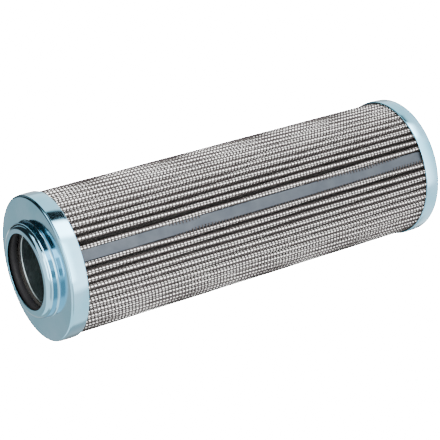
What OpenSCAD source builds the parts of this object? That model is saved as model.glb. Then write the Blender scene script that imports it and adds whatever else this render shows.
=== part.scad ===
// Pleated filter element for a hydraulic pressure line.
// It stands on its closed cap. +Z runs along the axis to the neck, and the side seam faces -Y.

/* [Cartridge] */
// Length from the base of the closed cap to the flat face of the open cap
body_len = 203.8; // [120:0.1:320]
// Outside diameter of both end caps
cap_od = 68; // [67.5:0.1:72]

/* [End caps] */
// Thickness of the pressed sheet
cap_sheet = 0.6; // [0.5:0.05:0.7]
// Depth of the open cap's skirt
open_skirt = 8.3; // [6:0.1:12]
// Depth of the closed cap's skirt
closed_skirt = 7.9; // [6:0.1:12]
// Outside radius of the bend between a face and its skirt
rim_bend = 1.2; // [0.9:0.05:1.6]
// Radius that rolls the free edge of a skirt inwards
edge_roll = 0.4; // [0.2:0.05:0.45]
// Height of the pressed-up centre of the closed cap, on which the tube stands
plateau_rise = 1.5; // [1:0.1:2]
// Ledge of that centre outside the tube
plateau_ledge = 0.5; // [0.2:0.1:1.5]

/* [Neck] */
// Diameter of the hole in the turned-in lip, and of the tube behind it
neck_bore = 35.4; // [34.8:0.1:35.8]
// Height of the collar over the face
neck_height = 5.3; // [4.6:0.1:8]
// Outside radius of the collar's shoulder
shoulder_bend = 2.6; // [2:0.1:3]
// Outside radius at the foot of the collar
neck_fillet = 0.9; // [0.5:0.1:1.5]
// Thickness of the sealing ring
seal_section = 3.7; // [3.2:0.1:4.2]
// How far the sealing ring stands into the bore
seal_proud = 0.2; // [0.1:0.05:0.22]
// Gap between the sealing ring and the wall of its groove
seal_gap = 0.1; // [0.05:0.01:0.15]

/* [Core tube] */
// Wall of the perforated tube
core_wall = 1.3; // [1:0.05:1.4]
// Depth of the tube's upper end under the open face
core_setback = 1.6; // [1:0.1:2.2]
// Radius on the inner and outer edge of that end
core_edge = 0.5; // [0.2:0.05:0.5]
// Diameter of a perforation
hole_d = 5; // [3:0.1:6]
// Perforations in one ring
holes_round = 10; // [6:1:14]
// Distance between two rings of perforations
hole_pitch = 11; // [8:0.5:16]
// Plain length kept at each end of the tube
plain_end = 16; // [10:0.5:30]

/* [Pleats] */
// Number of pleats
pleat_count = 59; // [40:1:62]
// Outside radius of a pleat's crest
crest_fold = 1.2; // [1.1:0.05:1.3]
// Radius left open in the bottom of a groove between two pleats
groove_fold = 0.02; // [0.01:0.01:0.04]
// Gap between the crests and the skirts
crest_gap = 0.2; // [0.1:0.05:0.5]
// Gap between the inner folds and the tube
core_gap = 0.15; // [0.1:0.05:0.5]
// Thickness of the outer wire mesh
outer_mesh_t = 0.28; // [0.2:0.01:0.32]
// Thickness of the fleece on the upstream side
upstream_fleece_t = 0.07; // [0.05:0.01:0.1]
// Thickness of the glass-fibre media
media_t = 0.27; // [0.2:0.01:0.3]
// Thickness of the fleece on the downstream side
downstream_fleece_t = 0.07; // [0.05:0.01:0.1]
// Thickness of the inner wire mesh
inner_mesh_t = 0.15; // [0.1:0.01:0.18]
// Gap between two layers of the pack
ply_gap = 0.02; // [0.01:0.005:0.03]

/* [Side seam] */
// Width of the flat face of the seam clip
strip_w = 5.8; // [5:0.1:7]
// Depth of that face under the crests
strip_drop = 0.9; // [0.7:0.1:1.5]
// Sheet of the clip
clip_sheet = 0.5; // [0.4:0.05:0.6]
// Outside radius of the clip's two long bends
clip_bend = 0.8; // [0.75:0.05:1]
// Depth of the clip's legs
leg_depth = 6; // [4:0.1:7]
// Gap between the clip and the pleats on both sides of it
clip_gap = 0.15; // [0.1:0.05:0.3]
// Resin between the clip and the ends of the pack
end_cover = 0.8; // [0.5:0.1:1.2]
// Distance of the resin from the tips of the legs
resin_setback = 0.3; // [0.1:0.1:1]

/* [Cap resin] */
// Thickness of the resin between a cap and the ends of the pleats
resin_t = 3; // [2.6:0.1:3.8]
// Gap between the resin and the walls beside it
bond_gap = 0.05; // [0.02:0.01:0.1]

/* [Hidden] */
$fn = 96;

// Segments in a 90 degree bend of the sheet, in a crest, in the bottom of a groove and in a clip's bend
BEND_STEPS = 8;
CREST_STEPS = 6;
GROOVE_STEPS = 3;
CLIP_STEPS = 4;
// Segments round one perforation
HOLE_STEPS = 24;
// Turn of each of the two bends that lift the closed cap's centre
STEP_TURN = 60;

cap_r = cap_od / 2;
skirt_in = cap_r - cap_sheet;
rim_in = rim_bend - cap_sheet;

bore_r = neck_bore / 2;

// The sealing ring stands into the bore, and the collar is pressed to fit round it
seal_in = bore_r - seal_proud;
groove_wall = seal_in + seal_section + seal_gap;
neck_r = groove_wall + cap_sheet;
seal_z = body_len + (neck_height - cap_sheet - core_setback) / 2;

core_out = bore_r + core_wall;
core_floor = plateau_rise + cap_sheet;
core_top = body_len - core_setback;
plateau_r = core_out + plateau_ledge;
step_r = plateau_rise / (2 * (1 - cos(STEP_TURN)));
step_run = 2 * step_r * sin(STEP_TURN);

hole_span = core_top - core_floor - 2 * plain_end;
hole_rings = floor(hole_span / hole_pitch) + 1;
first_ring = core_floor + plain_end + (hole_span - (hole_rings - 1) * hole_pitch) / 2;

pack_bottom = cap_sheet + resin_t;
pack_top = body_len - cap_sheet - resin_t;

// Depths of the layers under the outer surface of the mesh
fleece_in = outer_mesh_t + ply_gap;
media_in = fleece_in + upstream_fleece_t + ply_gap;
drain_in = media_in + media_t + ply_gap;
inner_mesh_in = drain_in + downstream_fleece_t + ply_gap;
pack_t = inner_mesh_in + inner_mesh_t;

crest_r = skirt_in - crest_gap;
crest_c = crest_r - crest_fold;
groove_c = core_out + core_gap + groove_fold + pack_t;
strip_top = crest_r - strip_drop;
leg_tip = strip_top - leg_depth;
end_c = strip_top - clip_sheet - end_cover;

// The pleats share what the seam leaves of the full turn
seam_half = asin((strip_w / 2 + clip_gap + crest_fold) / crest_c);
pitch = (360 - 2 * seam_half) / (pleat_count - 1);

function polar(r, a) = [r * cos(a), r * sin(a)];

function heading(v) = atan2(v[1], v[0]);

function unit(v) = v / norm(v);

function one_turn(a) = a - 360 * floor(a / 360);

function flipped(list) = [for (i = [len(list) - 1:-1:0]) list[i]];

function arc(centre, r, from, to, steps) =
    [for (i = [0:steps]) centre + polar(r, from + (to - from) * i / steps)];

// Arc that rounds one corner of an outline
function rounded(before, corner, after, r, steps) =
    let (
        u = unit(before - corner),
        v = unit(after - corner),
        half = acos(u * v) / 2,
        centre = corner + unit(u + v) * r / sin(half),
        from = heading(corner + u * r / tan(half) - centre),
        to = heading(corner + v * r / tan(half) - centre)
    )
    arc(centre, r, from, from + one_turn(to - from + 180) - 180, steps);

// Centres of the crests, with the two ends of the pack before the first one and after the last one
crests = concat(
    [polar(end_c, 0)],
    [for (k = [0:pleat_count - 1]) polar(crest_c, seam_half + k * pitch)],
    [polar(end_c, 360)]
);

// Centres of the inner folds: fold k lies between crest k and crest k + 1
folds = [for (k = [0:pleat_count]) polar(groove_c, seam_half + (k - 0.5) * pitch)];

// Direction from a crest's centre to where the straight wall after it, or before it, begins
function wall_lean(span) = acos((crest_fold + groove_fold) / norm(span));

function after_crest(k) = heading(folds[k] - crests[k]) - wall_lean(folds[k] - crests[k]);

function before_crest(k) = heading(folds[k - 1] - crests[k]) + wall_lean(folds[k - 1] - crests[k]);

// All layers are offsets of one folded line, so each keeps its thickness in walls and folds alike
function crest_arc(k, depth) =
    let (from = before_crest(k))
    arc(crests[k], crest_fold - depth, from, from + one_turn(after_crest(k) - from), CREST_STEPS);

function groove_arc(k, depth) =
    let (
        from = after_crest(k) + 180,
        turn = one_turn(after_crest(k) - before_crest(k + 1))
    )
    arc(folds[k], groove_fold + depth, from, from - turn, GROOVE_STEPS);

function folded_line(depth) = concat(
    [crests[0] + polar(crest_fold - depth, after_crest(0))],
    [for (k = [0:pleat_count]) each concat(
        groove_arc(k, depth),
        k < pleat_count ? crest_arc(k + 1, depth) : []
    )],
    [crests[pleat_count + 1] + polar(crest_fold - depth, before_crest(pleat_count + 1))]
);

// One layer of the pack, between two depths under the outer surface
module pleated_layer(depth, thickness) {
    translate([0, 0, pack_bottom])
        rotate([0, 0, -90])
            linear_extrude(height = pack_top - pack_bottom)
                polygon(concat(folded_line(depth), flipped(folded_line(depth + thickness))));
}

// Profile of the open cap's upper and outer side, from the lip to the edge of the skirt
function open_cap_outside() = concat(
    [[bore_r, neck_height]],
    arc([neck_r - shoulder_bend, neck_height - shoulder_bend], shoulder_bend, 90, 0, BEND_STEPS),
    arc([neck_r + neck_fillet, neck_fillet], neck_fillet, 180, 270, BEND_STEPS),
    arc([cap_r - rim_bend, -rim_bend], rim_bend, 90, 0, BEND_STEPS),
    arc([cap_r - edge_roll, edge_roll - open_skirt], edge_roll, 0, -90, BEND_STEPS)
);

function open_cap_inside() = concat(
    [[skirt_in, -open_skirt]],
    arc([cap_r - rim_bend, -rim_bend], rim_in, 0, 90, BEND_STEPS),
    arc([neck_r + neck_fillet, neck_fillet], neck_fillet + cap_sheet, 270, 180, BEND_STEPS),
    arc([neck_r - shoulder_bend, neck_height - shoulder_bend], shoulder_bend - cap_sheet, 0, 90, BEND_STEPS),
    [[bore_r, neck_height - cap_sheet]]
);

module open_end_cap() {
    color("#9fbcc6")
        translate([0, 0, body_len])
            rotate_extrude()
                polygon(concat(open_cap_outside(), open_cap_inside()));
}

// Two equal bends that carry the sheet from the closed cap's centre down to its rim.
// side is 1 for the upper face of the sheet and -1 for the lower one.
function step_line(side) = concat(
    arc([plateau_r, plateau_rise + cap_sheet / 2 - step_r], step_r + side * cap_sheet / 2,
        90, 90 - STEP_TURN, BEND_STEPS),
    arc([plateau_r + step_run, cap_sheet / 2 + step_r], step_r - side * cap_sheet / 2,
        270 - STEP_TURN, 270, BEND_STEPS)
);

function closed_cap_outside() = concat(
    [[0, plateau_rise]],
    step_line(-1),
    arc([cap_r - rim_bend, rim_bend], rim_bend, -90, 0, BEND_STEPS),
    arc([cap_r - edge_roll, closed_skirt - edge_roll], edge_roll, 0, 90, BEND_STEPS)
);

function closed_cap_inside() = concat(
    [[skirt_in, closed_skirt]],
    arc([cap_r - rim_bend, rim_bend], rim_in, 0, -90, BEND_STEPS),
    flipped(step_line(1)),
    [[0, plateau_rise + cap_sheet]]
);

module closed_end_cap() {
    color("#9fbcc6")
        rotate_extrude()
            polygon(concat(closed_cap_outside(), closed_cap_inside()));
}

module neck_seal() {
    color("#1c1c1e")
        translate([0, 0, seal_z])
            rotate_extrude()
                translate([seal_in + seal_section / 2, 0])
                    circle(d = seal_section);
}

// Tube rolled from perforated sheet, with each second ring of holes half a step round
module core_tube() {
    color("#8f969b")
        difference() {
            rotate_extrude()
                polygon(concat(
                    [[bore_r, core_floor], [core_out, core_floor]],
                    arc([core_out - core_edge, core_top - core_edge], core_edge, 0, 90, BEND_STEPS),
                    arc([bore_r + core_edge, core_top - core_edge], core_edge, 90, 180, BEND_STEPS)
                ));
            for (ring = [0:hole_rings - 1], hole = [0:holes_round - 1])
                rotate([0, 0, (hole + (ring % 2) / 2) * 360 / holes_round])
                    translate([bore_r / 2, 0, first_ring + ring * hole_pitch])
                        rotate([0, 90, 0])
                            cylinder(h = core_out, d = hole_d, $fn = HOLE_STEPS);
        }
}

module outer_mesh() {
    color("#8c8886")
        pleated_layer(0, outer_mesh_t);
}

module upstream_fleece() {
    color("#f2f1ee")
        pleated_layer(fleece_in, upstream_fleece_t);
}

module filter_media() {
    color("#ebe6da")
        pleated_layer(media_in, media_t);
}

module downstream_fleece() {
    color("#f2f1ee")
        pleated_layer(drain_in, downstream_fleece_t);
}

module inner_mesh() {
    color("#8c8886")
        pleated_layer(inner_mesh_in, inner_mesh_t);
}

// The clip's section is drawn with X away from the axis and Y across the seam.
// Its legs run beside the walls of the first and the last pleat.
wall_top = crests[1] + polar(crest_fold, before_crest(1));
wall_foot = folds[0] - polar(groove_fold, before_crest(1));

function across(p) = [p[0], -p[1]];

function on_line(a, b, x) = a[1] + (b[1] - a[1]) * (x - a[0]) / (b[0] - a[0]);

leg_end = [leg_tip, on_line(wall_top, wall_foot, leg_tip) - clip_gap];
strip_corner = [strip_top, strip_w / 2];
leg_shift = clip_sheet * norm(strip_corner - leg_end) / leg_depth;
inner_leg_end = leg_end - [0, leg_shift];
inner_corner = [strip_top - clip_sheet, on_line(leg_end, strip_corner, strip_top - clip_sheet) - leg_shift];

// Half of an outline: from the foot of a leg round the bend towards the middle of the strip
function half_outline(foot, corner, r) = concat(
    [foot],
    rounded(foot, corner, [corner[0], 0], r, CLIP_STEPS)
);

function whole_outline(half) = concat(half, [for (p = flipped(half)) across(p)]);

module along_seam() {
    translate([0, 0, pack_bottom])
        rotate([0, 0, -90])
            linear_extrude(height = pack_top - pack_bottom)
                children();
}

module seam_clip() {
    color("#8a939b")
        along_seam()
            polygon(concat(
                whole_outline(half_outline(leg_end, strip_corner, clip_bend)),
                flipped(whole_outline(half_outline(inner_leg_end, inner_corner, clip_bend - clip_sheet)))
            ));
}

// Outline of the slot for the wall in which one end of the pack finishes
function end_slot() =
    let (
        out = polar(1, after_crest(0)),
        tip = crests[0] + crest_fold * out,
        foot = folds[0] - groove_fold * out,
        reach = tip + bond_gap * unit(tip - foot)
    )
    [
        reach + bond_gap * out,
        foot + bond_gap * out,
        foot - (pack_t + bond_gap) * out,
        reach - (pack_t + bond_gap) * out
    ];

module seam_resin() {
    resin_tip = leg_tip + resin_setback;
    resin_foot = [resin_tip, on_line(inner_leg_end, inner_corner, resin_tip) - bond_gap];
    resin_corner = inner_corner - [bond_gap, bond_gap];
    resin_bend = clip_bend - clip_sheet - bond_gap;
    color("#37342f")
        along_seam()
            difference() {
                polygon(whole_outline(half_outline(resin_foot, resin_corner, resin_bend)));
                polygon(end_slot());
                polygon([for (p = end_slot()) across(p)]);
            }
}

// Ring between the tube and the skirt that fills the cap down to the ends of the pleats
module open_end_adhesive() {
    color("#37342f")
        rotate_extrude()
            polygon([
                [core_out + bond_gap, pack_top],
                [skirt_in - bond_gap, pack_top],
                [skirt_in - bond_gap, body_len - rim_bend - bond_gap],
                [cap_r - rim_bend - bond_gap, body_len - cap_sheet],
                [neck_r + neck_fillet, body_len - cap_sheet],
                [groove_wall, core_top],
                [core_out + bond_gap, core_top]
            ]);
}

// Its foot takes the form of the pressed step under it
module closed_end_adhesive() {
    color("#37342f")
        rotate_extrude()
            polygon(concat(
                [[core_out + bond_gap, pack_bottom], [core_out + bond_gap, core_floor]],
                step_line(1),
                [
                    [cap_r - rim_bend - bond_gap, cap_sheet],
                    [skirt_in - bond_gap, rim_bend + bond_gap],
                    [skirt_in - bond_gap, pack_bottom]
                ]
            ));
}

open_end_cap();
closed_end_cap();
neck_seal();
core_tube();
outer_mesh();
upstream_fleece();
filter_media();
downstream_fleece();
inner_mesh();
seam_clip();
seam_resin();
open_end_adhesive();
closed_end_adhesive();
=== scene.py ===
import math
import random

import bpy
import numpy as np
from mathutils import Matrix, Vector


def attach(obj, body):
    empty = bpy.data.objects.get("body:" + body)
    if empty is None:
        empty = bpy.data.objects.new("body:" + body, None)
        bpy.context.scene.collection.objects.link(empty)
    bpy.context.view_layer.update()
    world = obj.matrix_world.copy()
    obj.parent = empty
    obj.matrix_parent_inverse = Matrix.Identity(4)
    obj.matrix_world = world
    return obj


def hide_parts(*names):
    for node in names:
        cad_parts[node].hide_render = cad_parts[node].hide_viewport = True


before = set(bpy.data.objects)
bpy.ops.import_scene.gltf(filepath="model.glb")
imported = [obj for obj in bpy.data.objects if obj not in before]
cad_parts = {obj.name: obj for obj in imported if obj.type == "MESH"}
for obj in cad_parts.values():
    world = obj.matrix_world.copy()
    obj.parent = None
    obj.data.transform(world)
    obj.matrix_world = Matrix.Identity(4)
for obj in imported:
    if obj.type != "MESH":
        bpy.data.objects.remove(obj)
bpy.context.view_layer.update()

# Open end cap
# A shallow cup pressed from one blank of sheet steel: skirt, flat face and a collar whose lip turns in over
# the seal. It is zinc-plated and blue-passivated, and the pleated pack is cast into it with resin.
# Sizes here and below are in millimetres, and MM turns them into metres
MM = 0.001
SHEET = 0.6
CAP_R = 34.0
FACE_Z = 203.8
SKIRT_IN = CAP_R - SHEET
OPEN_SKIRT = 8.3
RIM_BEND = 1.2
EDGE_ROLL = 0.4
NECK_R = 21.9
NECK_TOP = 5.3
SHOULDER = 2.6
NECK_FILLET = 0.9
BORE_R = 17.7
LIP_EDGE = 0.15
# The press leaves the skirts slightly crowned, widest at this share of the way from bend to edge
CROWN = 0.14
WIDEST_AT = 0.6
SKIRT_STEPS = 8
SPIN_STEPS = 180
# Points closer than this many metres are one point
DOUBLES = 2e-6
# Formed pieces keep the edges that turn by more than this many degrees
FORMED_SHARP = 40
ZINC = (0.25, 0.48, 0.62, 1)
ZINC_CLOUD = (0.15, 0.41, 0.53, 1)


def nothing_selected():
    if bpy.context.object and bpy.context.object.mode != "OBJECT":
        bpy.ops.object.mode_set(mode="OBJECT")
    bpy.ops.object.select_all(action="DESELECT")


def take(piece):
    """Makes one piece the only selected and the active one."""
    nothing_selected()
    piece.select_set(True)
    bpy.context.view_layer.objects.active = piece


def apply_modifier(piece, kind, **settings):
    take(piece)
    bpy.ops.object.modifier_add(type=kind)
    modifier = piece.modifiers[-1]
    for key, value in settings.items():
        setattr(modifier, key, value)
    bpy.ops.object.modifier_apply(modifier=modifier.name)


def smooth(piece, sharp_over):
    """Shades a piece smooth, but for the edges that turn by more than sharp_over degrees."""
    take(piece)
    bpy.ops.object.shade_smooth_by_angle(angle=math.radians(sharp_over))


def smooth_formed(piece):
    """Shades a pressed, bent or moulded piece smooth and keeps its flat faces flat."""
    smooth(piece, FORMED_SHARP)
    apply_modifier(piece, "WEIGHTED_NORMAL", keep_sharp=True)


def bend(x, z, radius, start, end, steps=10):
    """Points of a bend in a section: its centre, radius, first and last direction in degrees."""
    turns = [math.radians(start + (end - start) * i / steps) for i in range(steps + 1)]
    return [(x + radius * math.cos(t), z + radius * math.sin(t)) for t in turns]


def lone_vertex(name, x, y, z):
    """Begins a piece as one vertex in edit mode, ready to be extruded. Sizes are in millimetres."""
    nothing_selected()
    bpy.ops.mesh.primitive_plane_add(size=MM)
    piece = bpy.context.object
    piece.name = piece.data.name = name
    bpy.ops.object.mode_set(mode="EDIT")
    bpy.ops.mesh.select_all(action="SELECT")
    bpy.ops.mesh.merge(type="CENTER")
    bpy.ops.transform.translate(value=(x * MM, y * MM, z * MM))
    return piece


def draw_line(points):
    """Extrudes the selected vertex from point to point, in millimetres."""
    for a, b in zip(points, points[1:]):
        step = [(b[i] - a[i]) * MM for i in range(3)]
        bpy.ops.mesh.extrude_region_move(TRANSFORM_OT_translate={"value": step})


def merge_doubles(apart=DOUBLES):
    """Merges the points that lie no further apart than this, in metres, and leaves all selected."""
    bpy.ops.mesh.select_all(action="SELECT")
    bpy.ops.mesh.remove_doubles(threshold=apart)
    bpy.ops.mesh.select_all(action="SELECT")


def sound_surface(apart=DOUBLES):
    """Merges doubles and turns all faces outwards, then leaves edit mode."""
    merge_doubles(apart)
    bpy.ops.mesh.normals_make_consistent(inside=False)
    bpy.ops.object.mode_set(mode="OBJECT")


def spun(name, section, closed=True):
    """A turned or pressed piece: its section in (radius, height), spun round the axis."""
    line = [(r, 0, z) for r, z in (section + section[:1] if closed else section)]
    piece = lone_vertex(name, *line[0])
    draw_line(line)
    merge_doubles()
    bpy.ops.mesh.spin(steps=SPIN_STEPS, angle=2 * math.pi, center=(0, 0, 0), axis=(0, 0, 1))
    sound_surface()
    smooth_formed(piece)
    return piece


def crowned_skirt(top, bottom):
    """Points along the outside of a skirt from its bend to its edge, widest a little past the middle."""
    drop = bottom - top
    widest = top + WIDEST_AT * drop
    heights = [top + drop * i / SKIRT_STEPS for i in range(1, SKIRT_STEPS)]
    return [(CAP_R - CROWN * ((z - widest) / (top - widest)) ** 2, z) for z in heights]


SKIRT_BEND_X = CAP_R - RIM_BEND - CROWN
ROLL_X = CAP_R - CROWN / 2 - EDGE_ROLL
FILLET_X = NECK_R + NECK_FILLET
SHOULDER_X = NECK_R - SHOULDER
SHOULDER_Z = NECK_TOP - SHOULDER
open_cap_section = (
    bend(BORE_R + LIP_EDGE, NECK_TOP - LIP_EDGE, LIP_EDGE, 180, 90, 3)
    + bend(SHOULDER_X, SHOULDER_Z, SHOULDER, 90, 0, 14)
    + bend(FILLET_X, NECK_FILLET, NECK_FILLET, 180, 270)
    + bend(SKIRT_BEND_X, -RIM_BEND, RIM_BEND, 90, 3)
    + crowned_skirt(-RIM_BEND, EDGE_ROLL - OPEN_SKIRT)
    + bend(ROLL_X, EDGE_ROLL - OPEN_SKIRT, EDGE_ROLL, 0, -90, 5)
    + [(SKIRT_IN, -OPEN_SKIRT)]
    + bend(SKIRT_BEND_X, -RIM_BEND, RIM_BEND - SHEET, 0, 90, 5)
    + bend(FILLET_X, NECK_FILLET, NECK_FILLET + SHEET, 270, 180)
    + bend(SHOULDER_X, SHOULDER_Z, SHOULDER - SHEET, 0, 90)
    + bend(BORE_R + LIP_EDGE, NECK_TOP - SHEET + LIP_EDGE, LIP_EDGE, 270, 180, 3)
)
open_cap = spun("open_cap", [(r, z + FACE_Z) for r, z in open_cap_section])


def feed(tree, socket, source):
    """Links a socket to the one that feeds it, or sets its value."""
    if isinstance(source, bpy.types.NodeSocket):
        tree.links.new(source, socket)
    else:
        socket.default_value = source


def add_node(tree, kind, inputs=None, **settings):
    made = tree.nodes.new("ShaderNode" + kind)
    for key, value in settings.items():
        setattr(made, key, value)
    for key, source in (inputs or {}).items():
        feed(tree, made.inputs[key], source)
    return made


def mix_colours(tree, factor, a, b):
    made = add_node(tree, "Mix", data_type="RGBA")
    for index, source in ((0, factor), (6, a), (7, b)):
        feed(tree, made.inputs[index], source)
    return made.outputs[2]


def mix_values(tree, factor, a, b):
    made = add_node(tree, "MapRange", {"Value": factor, "To Min": a, "To Max": b})
    return made.outputs["Result"]


def new_group(name, inputs, outputs):
    """An empty node group: inputs are (name, kind, value) and outputs (name, kind)."""
    group = bpy.data.node_groups.new(name, "ShaderNodeTree")
    for label, kind, value in inputs:
        socket = group.interface.new_socket(label, in_out="INPUT", socket_type="NodeSocket" + kind)
        socket.default_value = value
    for label, kind in outputs:
        group.interface.new_socket(label, in_out="OUTPUT", socket_type="NodeSocket" + kind)
    given = group.nodes.new("NodeGroupInput").outputs
    gives = group.nodes.new("NodeGroupOutput").inputs
    return group, given, gives


def place_group(tree, group, **inputs):
    """Puts a group into a material with that material's own values, and gives back the group's outputs."""
    made = tree.nodes.new("ShaderNodeGroup")
    made.node_tree = group
    for key, source in inputs.items():
        feed(tree, made.inputs[key.replace("_", " ")], source)
    return made.outputs


def new_finish(name):
    """A material: its tree and its Principled shader."""
    finish = bpy.data.materials.new(name)
    finish.use_nodes = True
    return finish, finish.node_tree, finish.node_tree.nodes["Principled BSDF"]


def feed_shader(tree, shader, made, *labels):
    """Links a group's colour to the shader's base colour, and its outputs named here to their like."""
    feed(tree, shader.inputs["Base Color"], made["Colour"])
    for label in labels:
        feed(tree, shader.inputs[label], made[label])


def worn_sheet():
    """Sheet as the press leaves it: cloudy colour, duller patches and fine draw lines along the axis."""
    group, given, gives = new_group(
        "worn sheet",
        [("Colour", "Color", (0.5, 0.5, 0.5, 1)), ("Cloud colour", "Color", (0.4, 0.4, 0.4, 1)),
         ("Cloud size", "Float", 60.0), ("Roughness", "Float", 0.25), ("Dull roughness", "Float", 0.4),
         ("Line depth", "Float", 0.000004)],
        [("Colour", "Color"), ("Roughness", "Float"), ("Normal", "Vector")])
    place = add_node(group, "TexCoord").outputs["Object"]
    clouds = add_node(group, "TexNoise", {"Vector": place, "Scale": given["Cloud size"], "Detail": 4.0})
    soft = add_node(group, "MapRange", {"Value": clouds.outputs["Fac"], "From Min": 0.35, "From Max": 0.7})
    feed(group, gives["Colour"],
         mix_colours(group, soft.outputs["Result"], given["Colour"], given["Cloud colour"]))
    patches = add_node(group, "TexNoise",
                       {"Vector": place, "Scale": 190.0, "Detail": 6.0, "Roughness": 0.65})
    dull = add_node(group, "MapRange", {"Value": patches.outputs["Fac"], "From Min": 0.4, "From Max": 0.75})
    feed(group, gives["Roughness"],
         mix_values(group, dull.outputs["Result"], given["Roughness"], given["Dull roughness"]))
    stretched = add_node(group, "Mapping", {"Vector": place, "Scale": (1, 1, 0.06)}).outputs["Vector"]
    lines = add_node(group, "TexNoise", {"Vector": stretched, "Scale": 900.0, "Detail": 3.0})
    bump = add_node(group, "Bump", {"Height": lines.outputs["Fac"], "Distance": given["Line depth"]})
    feed(group, gives["Normal"], bump.outputs["Normal"])
    return group


SHEET_GROUP = worn_sheet()
zinc_finish, tree, shader = new_finish("zinc_passivated")
worn = place_group(tree, SHEET_GROUP, Colour=ZINC, Cloud_colour=ZINC_CLOUD, Cloud_size=55.0,
                   Roughness=0.08, Dull_roughness=0.17, Line_depth=0.0000015)
feed_shader(tree, shader, worn, "Roughness", "Normal")
shader.inputs["Metallic"].default_value = 1.0
open_cap.data.materials.append(zinc_finish)
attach(open_cap, "root")
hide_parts("open_end_cap")

# Closed end cap
# The second cup is pressed from the same sheet with no opening. Two bends lift its centre, and the tube
# stands on that.
CLOSED_SKIRT = 7.9
PLATEAU_RISE = 1.5
PLATEAU_R = 19.5
STEP_TURN = 60
STEP_BEND = PLATEAU_RISE / (2 * (1 - math.cos(math.radians(STEP_TURN))))
STEP_RUN = 2 * STEP_BEND * math.sin(math.radians(STEP_TURN))


def pressed_step(side):
    """The two bends of the step: side is 1 for the sheet's upper face and -1 for its lower one."""
    half = side * SHEET / 2
    return (bend(PLATEAU_R, PLATEAU_RISE + SHEET / 2 - STEP_BEND, STEP_BEND + half, 90, 90 - STEP_TURN)
            + bend(PLATEAU_R + STEP_RUN, SHEET / 2 + STEP_BEND, STEP_BEND - half, 270 - STEP_TURN, 270))


closed_cap_section = (
    [(0, PLATEAU_RISE)] + pressed_step(-1)
    + bend(SKIRT_BEND_X, RIM_BEND, RIM_BEND, -90, -3)
    + crowned_skirt(RIM_BEND, CLOSED_SKIRT - EDGE_ROLL)
    + bend(ROLL_X, CLOSED_SKIRT - EDGE_ROLL, EDGE_ROLL, 0, 90, 5)
    + [(SKIRT_IN, CLOSED_SKIRT)]
    + bend(SKIRT_BEND_X, RIM_BEND, RIM_BEND - SHEET, 0, -90, 5)
    + pressed_step(1)[::-1] + [(0, PLATEAU_RISE + SHEET)]
)
closed_cap = spun("closed_cap", closed_cap_section, closed=False)
closed_cap.data.materials.append(zinc_finish)
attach(closed_cap, "root")
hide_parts("closed_end_cap")

# Neck seal
# A moulded O-ring of black nitrile rubber, trapped between the lip and the end of the tube. It keeps the
# fine flash line of its two-part mould.
SEAL_IN = 17.5
SEAL_SECTION = 3.7
SEAL_STEPS = 40
TUBE_SETBACK = 1.6
SEAL_Z = FACE_Z + (NECK_TOP - SHEET - TUBE_SETBACK) / 2
FLASH = 0.04
seal_r = SEAL_SECTION / 2
seal_section = bend(SEAL_IN + seal_r, SEAL_Z, seal_r, -90, 270, SEAL_STEPS)[:-1]
# The mould parts at the widest point, a quarter of the way round the section
r, z = seal_section[SEAL_STEPS // 4]
seal_section[SEAL_STEPS // 4] = (r + FLASH, z)
neck_ring = spun("neck_ring", seal_section)


def mottled_stuff():
    """Moulded, cast, drawn or spun stuff: soft patches of two tones and two grades of gloss, and relief."""
    group, given, gives = new_group(
        "mottled stuff",
        [("Colour", "Color", (0.5, 0.5, 0.5, 1)), ("Other colour", "Color", (0.4, 0.4, 0.4, 1)),
         ("Patches per metre", "Float", 300.0), ("Roughness", "Float", 0.5),
         ("Other roughness", "Float", 0.6), ("Relief", "Float", 0.000005)],
        [("Colour", "Color"), ("Roughness", "Float"), ("Normal", "Vector")])
    place = add_node(group, "TexCoord").outputs["Object"]
    noise = add_node(group, "TexNoise",
                     {"Vector": place, "Scale": given["Patches per metre"], "Detail": 4.0})
    patches = noise.outputs["Fac"]
    feed(group, gives["Colour"], mix_colours(group, patches, given["Colour"], given["Other colour"]))
    feed(group, gives["Roughness"],
         mix_values(group, patches, given["Roughness"], given["Other roughness"]))
    bump = add_node(group, "Bump", {"Height": patches, "Distance": given["Relief"]})
    feed(group, gives["Normal"], bump.outputs["Normal"])
    return group


MOTTLED_GROUP = mottled_stuff()
rubber_finish, tree, shader = new_finish("black_rubber")
mottled = place_group(tree, MOTTLED_GROUP, Colour=(0.004, 0.004, 0.005, 1),
                      Other_colour=(0.008, 0.008, 0.008, 1), Patches_per_metre=260.0,
                      Roughness=0.42, Other_roughness=0.6)
feed_shader(tree, shader, mottled, "Roughness", "Normal")
shader.inputs["Specular IOR Level"].default_value = 0.1
neck_ring.data.materials.append(rubber_finish)
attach(neck_ring, "root")
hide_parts("neck_seal")

# Core tube
# A tube rolled from perforated steel carries the pleats against the oil's pressure. The CAD piece is kept,
# with plain drawn steel on it.
tube_finish, tree, shader = new_finish("tube_steel")
worn = place_group(tree, SHEET_GROUP, Colour=(0.42, 0.50, 0.51, 1), Cloud_colour=(0.32, 0.40, 0.41, 1),
                   Cloud_size=80.0, Roughness=0.29, Dull_roughness=0.34, Line_depth=0.000001)
feed_shader(tree, shader, worn, "Roughness", "Normal")
shader.inputs["Metallic"].default_value = 1.0


def dress(node, finish):
    """Gives a CAD node that stays in view a finish."""
    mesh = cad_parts[node].data
    mesh.materials.clear()
    mesh.materials.append(finish)


dress("core_tube", tube_finish)

# Upstream fleece
# White spun fleece folded with the mesh into 59 pleats. It shows as bright beads in the openings of the
# wire. The pleats stand slightly unevenly, lean a little and twist by about a degree over the length.
PLEATS = 59
CREST_FOLD = 1.2
GROOVE_FOLD = 0.02
# Radii of the circles on which the middles of the crests and of the grooves stand
CREST_C = 32.0
GROOVE_C = 20.09
PACK_BOTTOM = 3.6
PACK_TOP = 200.2
MID_Z = (PACK_TOP + PACK_BOTTOM) / 2
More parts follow.
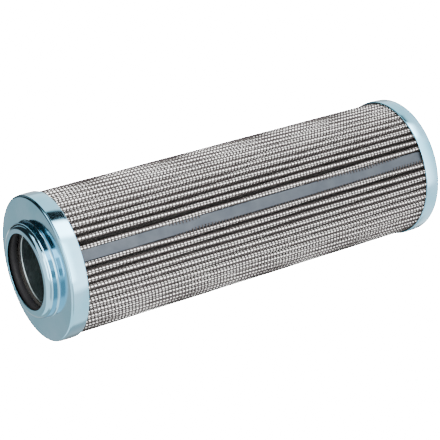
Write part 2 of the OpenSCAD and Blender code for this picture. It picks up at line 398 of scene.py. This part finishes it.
# Depths under the pack's outside: the middle of the wire mesh and the outer face of the fleece
MESH_DEPTH = 0.33
FLEECE_DEPTH = 0.5
FLEECE_T = 0.07
NEUTRAL_R = CREST_FOLD - MESH_DEPTH
# Way along the folded sheet from one crest to the next
SHEET_WAY = 26.0
# The seam strip takes its share of the full turn and the pleats divide the rest, in degrees
STRIP_W = 5.8
CLIP_GAP = 0.15
SEAM_HALF = math.degrees(math.asin((STRIP_W / 2 + CLIP_GAP + CREST_FOLD) / CREST_C))
PITCH = (360 - 2 * SEAM_HALF) / (PLEATS - 1)
# The seam faces -90 degrees at the height TWIST_MID, and turns by TWIST degrees over a height of TWIST_SPAN
SEAM_AT = -90
TWIST = -1.25
TWIST_MID = 100
TWIST_SPAN = 165
# Unevenness of each pleat in mm: shift, swing, height of one swing, its phase in radians, rise of the crest
UNEVEN = ((-0.14, 0.14), (0.04, 0.13), (60, 150), (0, 6.28), (-0.12, 0.02))
rng = random.Random(59)
wander = [tuple(rng.uniform(*span) for span in UNEVEN) for _ in range(PLEATS + 2)]
# How far the two pleats beside the seam lean over the strip, in mm, at these heights
LEAN_AT = (15, 60, 90, 135, 180)
LEAN_FIRST = (0.0, -0.45, -0.25, -0.55, -0.75)
LEAN_LAST = (0.1, 0.15, 0.0, -0.1, 0.55)
# Rows up the pack, points down a wall and round half a groove, and how much closer they lie by the crest
PACK_ROWS = 8
WALL_STEPS = 5
GROOVE_STEPS = 2
WALL_EASE = 1.5
# Neighbouring pleats join where their edges lie closer than this, in metres
PLEAT_JOIN = 4e-5
LAYER_SHARP = 60


def crest_angle(k):
    return SEAM_HALF + (k - 1) * PITCH


def seam_angle(z):
    """Direction of the seam at a height, in degrees."""
    return SEAM_AT + TWIST * (z - TWIST_MID) / TWIST_SPAN


def on_circle(radius, degrees):
    return np.array([radius * math.cos(math.radians(degrees)), radius * math.sin(math.radians(degrees))])


def wall_normal(crest, groove):
    """Direction in which the wall of a pleat faces, from the centres of its crest and of its groove."""
    span = groove - crest
    return math.atan2(span[1], span[0]) - math.acos((CREST_FOLD + GROOVE_FOLD) / math.hypot(*span))


WALL_TURN = wall_normal(on_circle(CREST_C, 0), on_circle(GROOVE_C, PITCH / 2))


def pleat_wall(depth, crest_steps):
    """Half a pleat, from its crest to the middle of the groove: points (x, y, way along the mesh)."""
    crest, groove = on_circle(CREST_C, 0), on_circle(GROOVE_C, PITCH / 2)
    points = []
    for i in range(crest_steps):
        turn = WALL_TURN * i / crest_steps
        at = crest + (CREST_FOLD - depth) * np.array([math.cos(turn), math.sin(turn)])
        points.append((at[0], at[1], NEUTRAL_R * turn))
    facing = np.array([math.cos(WALL_TURN), math.sin(WALL_TURN)])
    groove_r = GROOVE_FOLD + depth
    top = crest + (CREST_FOLD - depth) * facing
    foot = groove - groove_r * facing
    way = NEUTRAL_R * WALL_TURN
    for i in range(WALL_STEPS + 1):
        at = top + (foot - top) * (i / WALL_STEPS) ** WALL_EASE
        points.append((at[0], at[1], way + math.hypot(*(at - top))))
    middle = math.radians(PITCH / 2 + 180)
    start = WALL_TURN + math.pi
    step_way = groove_r * abs(middle - start) / GROOVE_STEPS
    for i in range(1, GROOVE_STEPS + 1):
        turn = start + (middle - start) * i / GROOVE_STEPS
        at = groove + groove_r * np.array([math.cos(turn), math.sin(turn)])
        points.append((at[0], at[1], points[-1][2] + step_way))
    return points


def mesh_points(piece):
    """A piece's points as rows of x, y and z in millimetres."""
    flat = np.empty(len(piece.data.vertices) * 3)
    piece.data.vertices.foreach_get("co", flat)
    return flat.reshape(-1, 3) / MM


def set_points(piece, points):
    piece.data.vertices.foreach_set("co", (points * MM).ravel())
    piece.data.update()


def stand_in_pack(points, k):
    """Carries points of pleat k from its own frame to its place, with lean, unevenness and twist."""
    x, y, z = points.T
    r, turn = np.hypot(x, y), np.arctan2(y, x)
    shift, swing, length, phase, rise = wander[k]
    lean = shift + swing * np.sin(2 * math.pi * z / length + phase)
    if k == 1:
        lean = np.interp(z, LEAN_AT, LEAN_FIRST)
    if k == PLEATS:
        lean = np.interp(z, LEAN_AT, LEAN_LAST)
    height = np.clip((r - GROOVE_C) / (CREST_C - GROOVE_C), 0, 1)
    weight = height * height * (3 - 2 * height)
    turn = turn + lean * weight / CREST_C
    r = r + rise * weight
    turn = turn + np.radians(seam_angle(z) + crest_angle(k))
    return np.column_stack([r * np.cos(turn), r * np.sin(turn), z])


def copies_round(model, name, first, last, change):
    """Copies a model of one pleat to each place from first to last and joins the copies into one piece."""
    made = []
    for k in range(first, last + 1):
        copy = model.copy()
        copy.data = model.data.copy()
        bpy.context.collection.objects.link(copy)
        change(copy, k)
        made.append(copy)
    nothing_selected()
    for copy in made:
        copy.select_set(True)
    bpy.context.view_layer.objects.active = made[0]
    bpy.ops.object.join()
    made[0].name = made[0].data.name = name
    return made[0]


def map_sheet(pleat, line):
    """Writes the way along the sheet and the height into a UV map, so that a finish follows the folds."""
    sheet_map = pleat.data.uv_layers.new(name="sheet")
    flat = mesh_points(pleat)
    for loop in pleat.data.loops:
        x, y, z = flat[loop.vertex_index]
        way = min(line, key=lambda point: (point[0] - x) ** 2 + (point[1] - y) ** 2)[2]
        sheet_map.data[loop.index].uv = (way * MM, z * MM)


def stand_pleat(copy, k):
    """Puts a copy of the drawn pleat in its place, with its share of the way along the sheet."""
    set_points(copy, stand_in_pack(mesh_points(copy), k))
    for corner in copy.data.uv_layers["sheet"].data:
        corner.uv[0] += k * SHEET_WAY * MM


def raise_rows(rows):
    """Extrudes the drawn outline up to the top of the pack, in equal rows."""
    bpy.ops.mesh.select_all(action="SELECT")
    for _ in range(rows):
        rise = (PACK_TOP - PACK_BOTTOM) / rows * MM
        bpy.ops.mesh.extrude_region_move(TRANSFORM_OT_translate={"value": (0, 0, rise)})


def folded_layer(name, depth, thickness, crest_steps=4):
    """One layer of the pack: a pleat is drawn, raised, set round the axis and given its thickness."""
    half = pleat_wall(depth, crest_steps)
    line = [(x, -y, -way) for x, y, way in half[:0:-1]] + half
    pleat = lone_vertex("pleat", line[0][0], line[0][1], PACK_BOTTOM)
    draw_line([(x, y, PACK_BOTTOM) for x, y, _ in line])
    raise_rows(PACK_ROWS)
    bpy.ops.object.mode_set(mode="OBJECT")
    map_sheet(pleat, line)
    layer = copies_round(pleat, name, 1, PLEATS, stand_pleat)
    bpy.data.objects.remove(pleat)
    take(layer)
    bpy.ops.object.mode_set(mode="EDIT")
    sound_surface(PLEAT_JOIN)
    apply_modifier(layer, "SOLIDIFY", thickness=thickness * MM, offset=-1)
    smooth(layer, LAYER_SHARP)
    return layer


fleece = folded_layer("fleece_pack", FLEECE_DEPTH, FLEECE_T, crest_steps=6)

# Lattice of the wires that press into the fleece: pitches, and the slope at which the roll went in
WEFT_PITCH = 1.735
WARP_PITCH = 1.38
SKEW = 0.03
FLEECE_LOW = (0.84, 0.83, 0.81, 1)
FLEECE_HIGH = (0.97, 0.965, 0.95, 1)
# Painted shade: the fleece's colour under and beside each wire, darkened along the lattice's lines
PAINTED_WIRE_SHADE = (0.10, 0.092, 0.088, 1)
# Between these ways off the crest, in mm, the fleece falls into the shade of its pleat
SHADE_FROM = 1.3
SHADE_TO = 3.4
PLEAT_SHADE = (0.055, 0.052, 0.05, 1)
# Relief of the fibres as a share of the relief that the wires press into the fleece
FIBRE_RELIEF = 0.15


def math_node(tree, operation, *sources):
    return add_node(tree, "Math", dict(enumerate(sources)), operation=operation).outputs[0]


def between_lines(tree, at, pitch, dark):
    """0 on the lines of a lattice, wider the higher dark is, and 1 half-way between them."""
    phase = math_node(tree, "MULTIPLY", math_node(tree, "DIVIDE", at, pitch), math.pi)
    wave = math_node(tree, "ABSOLUTE", math_node(tree, "SINE", phase))
    return add_node(tree, "MapRange", {"Value": wave, "From Min": dark}).outputs["Result"]


def woven_lattice():
    """A mesh laid on the folded sheet: 0 at its wires and 1 in its openings, and the way off the crest."""
    group, given, gives = new_group(
        "woven lattice",
        [("Weft pitch", "Float", 1.7), ("Warp pitch", "Float", 1.4), ("Skew", "Float", 0.0),
         ("Dark", "Float", 0.0)],
        [("Opening", "Float"), ("Off crest", "Float")])
    sheet_at = add_node(group, "UVMap", uv_map="sheet").outputs["UV"]
    in_mm = add_node(group, "VectorMath", {0: sheet_at, "Scale": 1 / MM}, operation="SCALE").outputs[0]
    split = add_node(group, "SeparateXYZ", {"Vector": in_mm})
    way, height = split.outputs["X"], split.outputs["Y"]
    weft_at = math_node(group, "MULTIPLY_ADD", way, given["Skew"], height)
    climb = math_node(group, "MULTIPLY", math_node(group, "SUBTRACT", height, MID_Z), given["Skew"])
    warp_at = math_node(group, "SUBTRACT", way, climb)
    across = between_lines(group, weft_at, given["Weft pitch"], given["Dark"])
    along = between_lines(group, warp_at, given["Warp pitch"], given["Dark"])
    feed(group, gives["Opening"], math_node(group, "MULTIPLY", across, along))
    feed(group, gives["Off crest"], math_node(group, "PINGPONG", way, SHEET_WAY / 2))
    return group


LATTICE_GROUP = woven_lattice()
fleece_finish, tree, shader = new_finish("spun_fleece")
lattice = place_group(tree, LATTICE_GROUP, Weft_pitch=WEFT_PITCH, Warp_pitch=WARP_PITCH, Skew=SKEW,
                      Dark=0.45)
sheet_at = add_node(tree, "UVMap", uv_map="sheet").outputs["UV"]
fibres = add_node(tree, "TexNoise",
                  {"Vector": sheet_at, "Scale": 2600.0, "Detail": 4.0, "Roughness": 0.7}).outputs["Fac"]
white = mix_colours(tree, fibres, FLEECE_LOW, FLEECE_HIGH)
# Painted shade: the fleece is darkened along the lines of the wires, so that each bead is bright in its
# middle
wire_shaded = mix_colours(tree, lattice["Opening"], PAINTED_WIRE_SHADE, white)
shade = add_node(tree, "MapRange",
                 {"Value": lattice["Off crest"], "From Min": SHADE_FROM, "From Max": SHADE_TO})
feed(tree, shader.inputs["Base Color"], mix_colours(tree, shade.outputs["Result"], wire_shaded, PLEAT_SHADE))
shader.inputs["Roughness"].default_value = 0.8
relief = math_node(tree, "MULTIPLY_ADD", fibres, FIBRE_RELIEF, lattice["Opening"])
bump = add_node(tree, "Bump", {"Height": relief, "Distance": 0.00018})
feed(tree, shader.inputs["Normal"], bump.outputs["Normal"])
fleece.data.materials.append(fleece_finish)
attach(fleece, "root")
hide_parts("upstream_fleece")

# Outer mesh
# Square-woven dark steel wire, about 18 by 14 to the inch, folded with the fleece. The roll went into the
# pleater a little askew, so its wires run across the pleats at under two degrees.
WIRE_R = 0.28
# The cross wires lie a little outside the lengthwise ones, and weave in and out by CRIMP
WEFT_OUT = 0.05
CRIMP = 0.05
# Straight parts of a weft wire and of a warp wire, and warp wires on one pleat
WEFT_BENDS = 10
WARP_BENDS = 20
WARP_LINES = 9
# Wires are laid on this much of the sheet on each side of a crest, since the rest is out of sight
MESH_HALF = WEFT_BENDS * WARP_PITCH / 4
# One piece of all the wires would have too many faces
MESH_SECTORS = 5
END_MARGIN = 0.3
WEFT_ROWS = int((PACK_TOP - PACK_BOTTOM - 2 * END_MARGIN) / WEFT_PITCH)
# Drawn length of a warp wire, which is then stretched to its run
WARP_DRAWN = 2
WIRE_SHARP = 95
STRIP_TOP = 32.3
# Where the wires beside the seam end loose on the strip: heights, and how far they reach off the crest
FRAY_AT = (12, 22, 33, 48, 60, 100, 113, 123, 131, 134, 141, 149, 155)
FRAY_FIRST = (0.0, 1.5, 1.9, 1.9, 1.3, 0.0, 0.0, 0.0, 0.0, 1.3, 1.8, 1.5, 0.0)
FRAY_LAST = (2.1, 1.9, 1.5, 1.3, 1.2, 1.1, 1.3, 1.8, 2.2, 2.2, 1.7, 1.2, 0.0)
# Way off the crest at which a loose wire leaves the fold, and the shortest reach that lies loose
FRAY_START = 0.65
FRAY_LEAST = 1


def square_wire(name, length, along, bends):
    """A straight four-sided wire centred on the origin, cut into even lengths so that it can be bent."""
    nothing_selected()
    turned = (0, math.pi / 2, 0) if along == 0 else (0, 0, 0)
    bpy.ops.mesh.primitive_cylinder_add(vertices=4, radius=WIRE_R * MM, depth=length * MM, rotation=turned)
    wire = bpy.context.object
    wire.name = wire.data.name = name
    bpy.ops.object.transform_apply(location=True, rotation=True, scale=True)
    bpy.ops.object.mode_set(mode="EDIT")
    bpy.ops.mesh.select_mode(type="EDGE")
    bpy.ops.mesh.select_all(action="DESELECT")
    bpy.ops.object.mode_set(mode="OBJECT")
    for edge in wire.data.edges:
        a, b = (wire.data.vertices[v].co for v in edge.vertices)
        edge.select = abs(a[along] - b[along]) > length * MM / 2
    bpy.ops.object.mode_set(mode="EDIT")
    bpy.ops.mesh.subdivide(number_cuts=bends - 1)
    bpy.ops.mesh.select_mode(type="VERT")
    bpy.ops.object.mode_set(mode="OBJECT")
    return wire


def repeat(wire, count):
    """Makes count wires of one, all in its place until they are laid on the lattice."""
    apply_modifier(wire, "ARRAY", count=count, use_relative_offset=False, use_constant_offset=True,
                   constant_offset_displace=(0, 0, 0))


weft = square_wire("weft_wire", 2 * MESH_HALF, 0, WEFT_BENDS)
warp = square_wire("warp_wire", WARP_DRAWN, 2, WARP_BENDS)
weft_size, warp_size = len(weft.data.vertices), len(warp.data.vertices)
repeat(weft, WEFT_ROWS)
repeat(warp, WARP_LINES)
nothing_selected()
weft.select_set(True)
warp.select_set(True)
bpy.context.view_layer.objects.active = weft
bpy.ops.object.join()
woven = weft


def weft_wires(points):
    """The points of the cross wires, which come first in the woven piece, wire by wire."""
    return points[:WEFT_ROWS * weft_size].reshape(WEFT_ROWS, weft_size, 3)


def warp_wires(points):
    """The points of the lengthwise wires, wire by wire."""
    return points[WEFT_ROWS * weft_size:].reshape(WARP_LINES, warp_size, 3)


def fold_over_pleat(points):
    """Bends flat sheet points (way, outward, height) over a crest at angle 0."""
    way, out, z = points.T
    arc_way = NEUTRAL_R * WALL_TURN
    turn = np.clip(way / NEUTRAL_R, -WALL_TURN, WALL_TURN)
    past = np.sign(way) * np.clip(np.abs(way) - arc_way, 0, None)
    r = NEUTRAL_R + out
    x = CREST_C + r * np.cos(turn) - past * np.sin(turn)
    y = r * np.sin(turn) + past * np.cos(turn)
    return np.column_stack([x, y, z])


def fray_ends(flat, folded, height, k):
    """Lets the cross wires of the pleats beside the seam end loose on the strip, as the table says."""
    side = -1 if k == 1 else 1
    reach = np.interp(height, FRAY_AT, FRAY_FIRST if k == 1 else FRAY_LAST)
    along = side * flat[:, :, 0] - FRAY_START
    loose = (along > 0) & (reach > FRAY_LEAST)
    off_crest = NEUTRAL_R * math.sin(FRAY_START / NEUTRAL_R) + along * reach / (MESH_HALF - FRAY_START)
    folded[:, :, 0] = np.where(loose, STRIP_TOP + WIRE_R + flat[:, :, 1], folded[:, :, 0])
    folded[:, :, 1] = np.where(loose, side * off_crest, folded[:, :, 1])


def weave_over(copy, k):
    """Lays the wires on pleat k, each on its line of the skewed lattice, and folds them over the crest."""
    points = mesh_points(copy)
    weft_part = weft_wires(points)
    warp_part = warp_wires(points)
    climb = SKEW * k * SHEET_WAY
    first_row = math.ceil((PACK_BOTTOM + END_MARGIN + climb) / WEFT_PITCH)
    row = first_row + np.arange(WEFT_ROWS)[:, None]
    height = row * WEFT_PITCH - climb
    # The half step nearest the crest centres each weft wire, so that it bends at its crossings
    start = -k * SHEET_WAY + SKEW * (height - MID_Z)
    half_step = WARP_PITCH / 2
    weft_part[:, :, 0] += start - np.round(start / half_step) * half_step
    crossing = (weft_part[:, :, 0] - start) / WARP_PITCH
    weft_part[:, :, 1] += WEFT_OUT + CRIMP * np.cos(math.pi * (crossing + row))
    weft_part[:, :, 2] += height - SKEW * weft_part[:, :, 0]
    # Each warp wire runs only where its line lies on this pleat's crest and upper walls
    reach = SKEW * (PACK_TOP - PACK_BOTTOM) / 2 - WIRE_R
    lowest = math.ceil((k * SHEET_WAY - MESH_HALF - reach) / WARP_PITCH)
    for i in range(WARP_LINES):
        line = (lowest + i) * WARP_PITCH - k * SHEET_WAY
        low = max(PACK_BOTTOM + END_MARGIN, MID_Z + (-MESH_HALF - line) / SKEW)
        high = min(PACK_TOP - END_MARGIN, MID_Z + (MESH_HALF - line) / SKEW)
        z = low + (warp_part[i, :, 2] / WARP_DRAWN + 0.5) * (high - low)
        warp_part[i, :, 2] = z
        warp_part[i, :, 0] += line + SKEW * (z - MID_Z)
    warp_part[:, :, 1] -= WEFT_OUT
    folded = fold_over_pleat(points)
    if k in (1, PLEATS):
        fray_ends(weft_part, weft_wires(folded), height, k)
    set_points(copy, stand_in_pack(folded, k))


wire_finish, tree, shader = new_finish("dark_wire")
mottled = place_group(tree, MOTTLED_GROUP, Colour=(0.014, 0.012, 0.012, 1),
                      Other_colour=(0.040, 0.034, 0.033, 1), Patches_per_metre=420.0,
                      Roughness=0.4, Other_roughness=0.62)
feed_shader(tree, shader, mottled, "Roughness")
shader.inputs["Metallic"].default_value = 0.4

for sector in range(MESH_SECTORS):
    first = 1 + sector * PLEATS // MESH_SECTORS
    last = (sector + 1) * PLEATS // MESH_SECTORS
    part = copies_round(woven, f"woven_wire_{sector + 1}", first, last, weave_over)
    smooth(part, WIRE_SHARP)
    part.data.materials.clear()
    part.data.materials.append(wire_finish)
    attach(part, "root")
    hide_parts("outer_mesh")
bpy.data.objects.remove(woven)

# Seam clip
# A channel of galvanised strip squeezed over the two ends of the folded pack along its whole length. Its
# legs go down between the first and the last pleat.
CLIP_SHEET = 0.5
CLIP_BEND = 0.8
CLIP_STEPS = 8
# The legs draw in a little towards their tips, so the bend stops this many degrees short of a right angle
LEG_TURN = 4
LEG_TIP = 26.3
LEG_HALF = 2.25
CLIP_ROWS = 16


def clip_side(half_width, radius):
    """One side of the clip's section from the tip of the leg to the flat face: points (height, width)."""
    corner = bend(STRIP_W / 2 - CLIP_BEND, STRIP_TOP - CLIP_BEND, radius, LEG_TURN, 90, CLIP_STEPS)
    return [(LEG_TIP, half_width)] + [(z, x) for x, z in corner]


outer = clip_side(LEG_HALF, CLIP_BEND)
inner = clip_side(LEG_HALF - CLIP_SHEET, CLIP_BEND - CLIP_SHEET)
outline = outer + [(x, -y) for x, y in outer[::-1]] + [(x, -y) for x, y in inner] + inner[::-1]
outline.append(outline[0])
clip = lone_vertex("seam_strip", outline[0][0], outline[0][1], PACK_BOTTOM)
draw_line([(x, y, PACK_BOTTOM) for x, y in outline])
merge_doubles()
bpy.ops.mesh.edge_face_add()
raise_rows(CLIP_ROWS)
sound_surface()
x, y, z = mesh_points(clip).T
turn = np.arctan2(y, x) + np.radians(seam_angle(z))
r = np.hypot(x, y)
set_points(clip, np.column_stack([r * np.cos(turn), r * np.sin(turn), z]))
smooth_formed(clip)

strip_finish, tree, shader = new_finish("galvanised_strip")
worn = place_group(tree, SHEET_GROUP, Colour=(0.054, 0.062, 0.072, 1),
                   Cloud_colour=(0.043, 0.050, 0.060, 1), Cloud_size=120.0,
                   Roughness=0.45, Dull_roughness=0.58, Line_depth=0.000006)
feed_shader(tree, shader, worn, "Roughness", "Normal")
shader.inputs["Metallic"].default_value = 1.0
clip.data.materials.append(strip_finish)
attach(clip, "root")
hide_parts("seam_clip")

# Inner layers
# Glass-fibre media, a second fleece and a finer wire mesh lie under the outer layers and are folded with
# them. They show only through the tube's holes.
MEDIA_DEPTH = 0.59
MEDIA_T = 0.18
DRAIN_DEPTH = 0.79
FINE_MESH_DEPTH = 0.87
FINE_MESH_T = 0.1
FINE_PITCH = 0.6
FINE_WIRE = (0.42, 0.41, 0.40, 1)
# Painted shade: the openings of the fine mesh are painted near-black for the shaded layers behind them
FINE_OPENING_SHADE = (0.08, 0.075, 0.07, 1)
media_finish, tree, shader = new_finish("glass_fibre_media")
mottled = place_group(tree, MOTTLED_GROUP, Colour=(0.72, 0.68, 0.60, 1),
                      Other_colour=(0.88, 0.86, 0.80, 1), Patches_per_metre=1800.0, Relief=0.00004)
feed_shader(tree, shader, mottled, "Normal")
shader.inputs["Roughness"].default_value = 0.85
media = folded_layer("glass_fibre_pack", MEDIA_DEPTH, MEDIA_T)
media.data.materials.append(media_finish)
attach(media, "root")
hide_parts("filter_media")
drain = folded_layer("inner_fleece_pack", DRAIN_DEPTH, FLEECE_T)
drain.data.materials.append(fleece_finish)
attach(drain, "root")
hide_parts("downstream_fleece")

fine_mesh_finish, tree, shader = new_finish("fine_mesh")
lattice = place_group(tree, LATTICE_GROUP, Weft_pitch=FINE_PITCH, Warp_pitch=FINE_PITCH, Dark=0.3)
# Painted shade in the openings, between the lighter wires
feed(tree, shader.inputs["Base Color"], mix_colours(tree, lattice["Opening"], FINE_WIRE, FINE_OPENING_SHADE))
shader.inputs["Roughness"].default_value = 0.4
shader.inputs["Metallic"].default_value = 0.8
bump = add_node(tree, "Bump", {"Height": lattice["Opening"], "Distance": 0.0001}, invert=True)
feed(tree, shader.inputs["Normal"], bump.outputs["Normal"])
fine_mesh = folded_layer("fine_mesh_pack", FINE_MESH_DEPTH, FINE_MESH_T)
fine_mesh.data.materials.append(fine_mesh_finish)
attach(fine_mesh, "root")
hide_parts("inner_mesh")

# Casting resin
# Near-black two-part resin fills both caps up to the ends of the pleats, and the clip round the ends of the
# pack. Its ring shows in the neck between the seal and the tube.
resin_finish, tree, shader = new_finish("casting_resin")
mottled = place_group(tree, MOTTLED_GROUP, Colour=(0.012, 0.012, 0.012, 1),
                      Other_colour=(0.040, 0.038, 0.035, 1), Patches_per_metre=90.0,
                      Roughness=0.2, Other_roughness=0.4, Relief=0.00002)
feed_shader(tree, shader, mottled, "Roughness", "Normal")
for node in ("open_end_adhesive", "closed_end_adhesive", "seam_resin"):
    dress(node, resin_finish)

# Studio
# A white floor under the element as it stands on its closed cap, and a white surround with the panels and
# the dark gaps that the pressed caps mirror. The floor isn't mirrored. The viewpoint is the photograph's.
FLOOR_R = 2.5
FLOOR_GAP = 0.0002
# Brightness at which the floor and the surround read as white
WHITE = 30.0
nothing_selected()
bpy.ops.mesh.primitive_circle_add(vertices=96, radius=FLOOR_R, fill_type="NGON",
                                  location=(0, 0, -FLOOR_GAP))
floor = bpy.context.object
floor.name = "floor"
floor_finish, tree, shader = new_finish("white_floor")
shader.inputs["Base Color"].default_value = (0.85, 0.85, 0.85, 1)
shader.inputs["Roughness"].default_value = 0.9
shader.inputs["Emission Color"].default_value = (1, 1, 1, 1)
ray = add_node(tree, "LightPath").outputs
feed(tree, shader.inputs["Emission Strength"], mix_values(tree, ray["Is Camera Ray"], 0.0, WHITE))
clear = add_node(tree, "BsdfTransparent").outputs[0]
shown = add_node(tree, "MixShader", {0: ray["Is Glossy Ray"], 1: shader.outputs[0], 2: clear}).outputs[0]
tree.links.new(shown, tree.nodes["Material Output"].inputs["Surface"])
floor.data.materials.append(floor_finish)

# Lamps: place and side of the square panel in metres, and power in watts
LAMPS = {
    "key_panel": ((0.15, -1.1, 0.65), 0.7, 66),
    "fill_panel": ((0.5, -1.0, 0.8), 0.8, 28),
    "back_panel": ((0.3, 1.1, 0.6), 0.8, 45),
}
LAMPS_AIM = (0, 0, 0.1)


def soft_light(name, place, side, power):
    data = bpy.data.lights.new(name, "AREA")
    data.shape = "SQUARE"
    data.size = side
    data.energy = power
    lamp = bpy.data.objects.new(name, data)
    bpy.context.collection.objects.link(lamp)
    lamp.location = place
    lamp.rotation_euler = (Vector(place) - Vector(LAMPS_AIM)).to_track_quat("Z", "Y").to_euler()
    # The pressed caps mirror the surround's panels alone
    lamp.visible_glossy = False


for name, lamp in LAMPS.items():
    soft_light(name, *lamp)

# Brightness of the surround as the metal mirrors it, and as it lights the dull surfaces
SURROUND = 2.4
AMBIENT = 0.65
# Panels and gaps of the surround, in degrees: azimuth and elevation of the middle, half width, half height,
# brightness, width of the soft edge
PANELS = (
    (262, -24, 34, 8, 5.5, 14),
    (266, -6, 26, 8, 12.0, 8),
    (120, -8, 34, 22, 0.9, 8),
    (104, -26, 16, 14, 0.5, 10),
    (66, -24, 14, 14, 1.1, 8),
    (90, 23, 22, 12, 0.85, 8),
    (262, 43, 26, 11, 8.0, 6),
    (293, 24, 9, 8, 7.0, 5),
    (247, 22, 6, 5, 1.0, 5),
    (205, 23, 16, 8, 1.1, 14),
    (342, 20, 36, 12, 0.06, 6),
    (352, 35, 5, 4, 6.0, 4),
    (48, 40, 30, 22, 0.04, 6),
    (20, 2, 55, 8, 0.04, 6),
    (317, -21, 8, 7, 16.0, 12),
    (343, -23, 7, 7, 0.04, 6),
)
world = bpy.data.worlds.new("studio")
bpy.context.scene.world = world
world.use_nodes = True
tree = world.node_tree
towards = add_node(tree, "TexCoord").outputs["Generated"]
parts = add_node(tree, "SeparateXYZ", {"Vector": towards})
azimuth = math_node(tree, "ARCTAN2", parts.outputs["Y"], parts.outputs["X"])
elevation = math_node(tree, "ARCSINE", parts.outputs["Z"])


def inside(tree, off, half, edge):
    """1 where an angle off a panel's middle is inside its half size, and 0 past its soft edge."""
    bounds = {"From Min": math.radians(half + edge), "From Max": math.radians(half)}
    made = add_node(tree, "MapRange", {"Value": off, **bounds}, interpolation_type="SMOOTHSTEP")
    return made.outputs["Result"]


glow = SURROUND
for heading, height, half_width, half_height, brightness, edge in PANELS:
    turned = math_node(tree, "COSINE", math_node(tree, "SUBTRACT", azimuth, math.radians(heading)))
    aside = math_node(tree, "ARCCOSINE", turned)
    above = math_node(tree, "ABSOLUTE", math_node(tree, "SUBTRACT", elevation, math.radians(height)))
    across = inside(tree, aside, half_width, edge)
    up = inside(tree, above, half_height, edge)
    glow = mix_values(tree, math_node(tree, "MULTIPLY", across, up), glow, brightness)
ray = add_node(tree, "LightPath").outputs
lit = mix_values(tree, ray["Is Diffuse Ray"], glow, AMBIENT)
background = tree.nodes["Background"].inputs
feed(tree, background["Strength"], mix_values(tree, ray["Is Camera Ray"], lit, WHITE))
background["Color"].default_value = (1, 1, 1, 1)

LENS = 134.7
SENSOR_WIDTH = 36
CLIP_START = 0.01
CAMERA_AT = (0.0, -0.678878, 0.488057)
CAMERA_TURN = (-26.506, 56.825, -120.62)
camera_data = bpy.data.cameras.new("camera")
camera_data.lens = LENS
camera_data.sensor_width = SENSOR_WIDTH
camera_data.clip_start = CLIP_START
camera = bpy.data.objects.new("camera", camera_data)
bpy.context.collection.objects.link(camera)
camera.location = CAMERA_AT
camera.rotation_euler = [math.radians(a) for a in CAMERA_TURN]
bpy.context.scene.camera = camera
